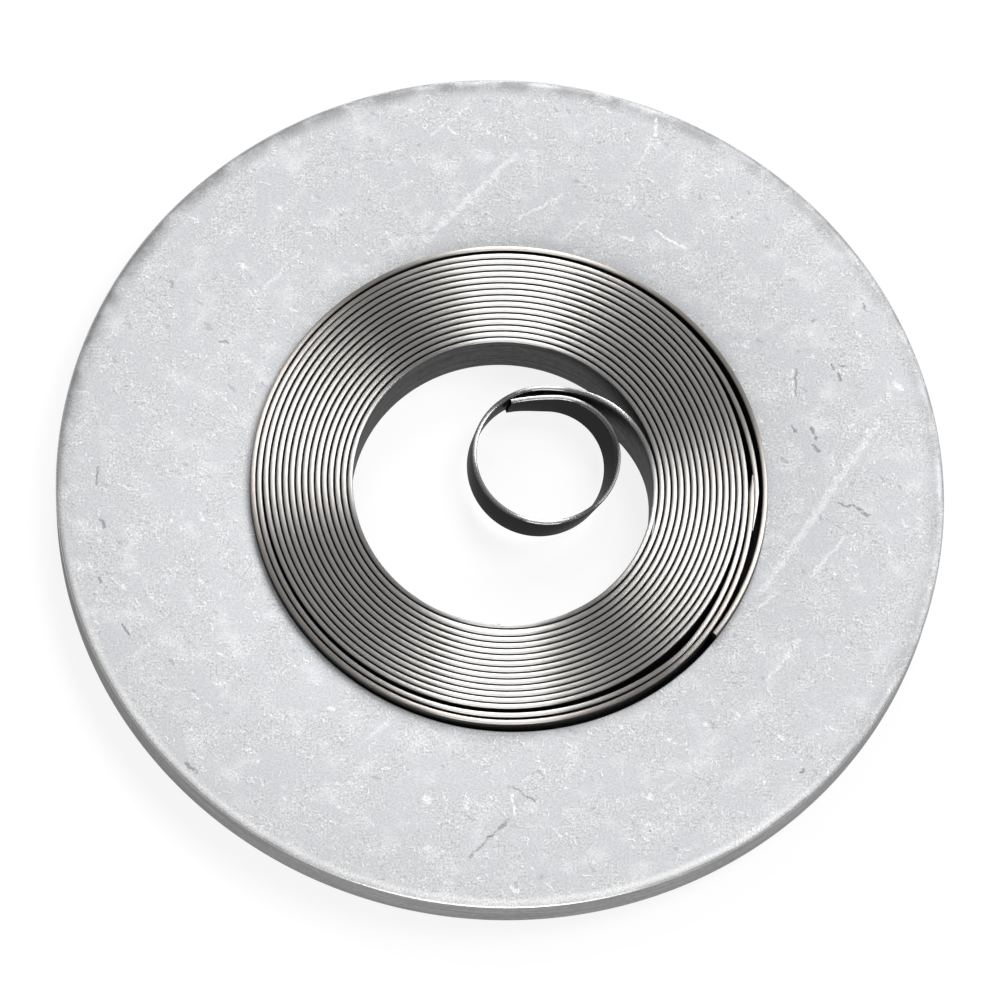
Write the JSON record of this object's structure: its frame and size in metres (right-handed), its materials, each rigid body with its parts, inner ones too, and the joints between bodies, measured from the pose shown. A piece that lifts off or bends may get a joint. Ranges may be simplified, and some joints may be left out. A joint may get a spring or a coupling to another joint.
{
  "type": "watch mainspring",
  "caption": "Flat spiral watch mainspring with an arbor eye and a slipping bridle, wound up on edge inside a flat stamped metal shipping ring.",
  "frame": {"origin": "middle of the retaining ring, at the height of the spring's lower edge", "axes": "+Z along the coil's axis, out of the face with the rolled rim; +Y to the back and +X to the right of the picture"},
  "size_m": [0.0178, 0.0178, 0.0012],
  "materials": {
    "ring_metal": "matte stamped sheet with light scratches",
    "spring_steel": "bright rolled strip with rounded edges",
    "bridle_steel": "rolled strip, a little darker than the spring"
  },
  "bodies": {
    "root": {"retaining_ring": "ring_metal", "mainspring": "spring_steel", "bridle": "bridle_steel"}
  },
  "joints": []
}
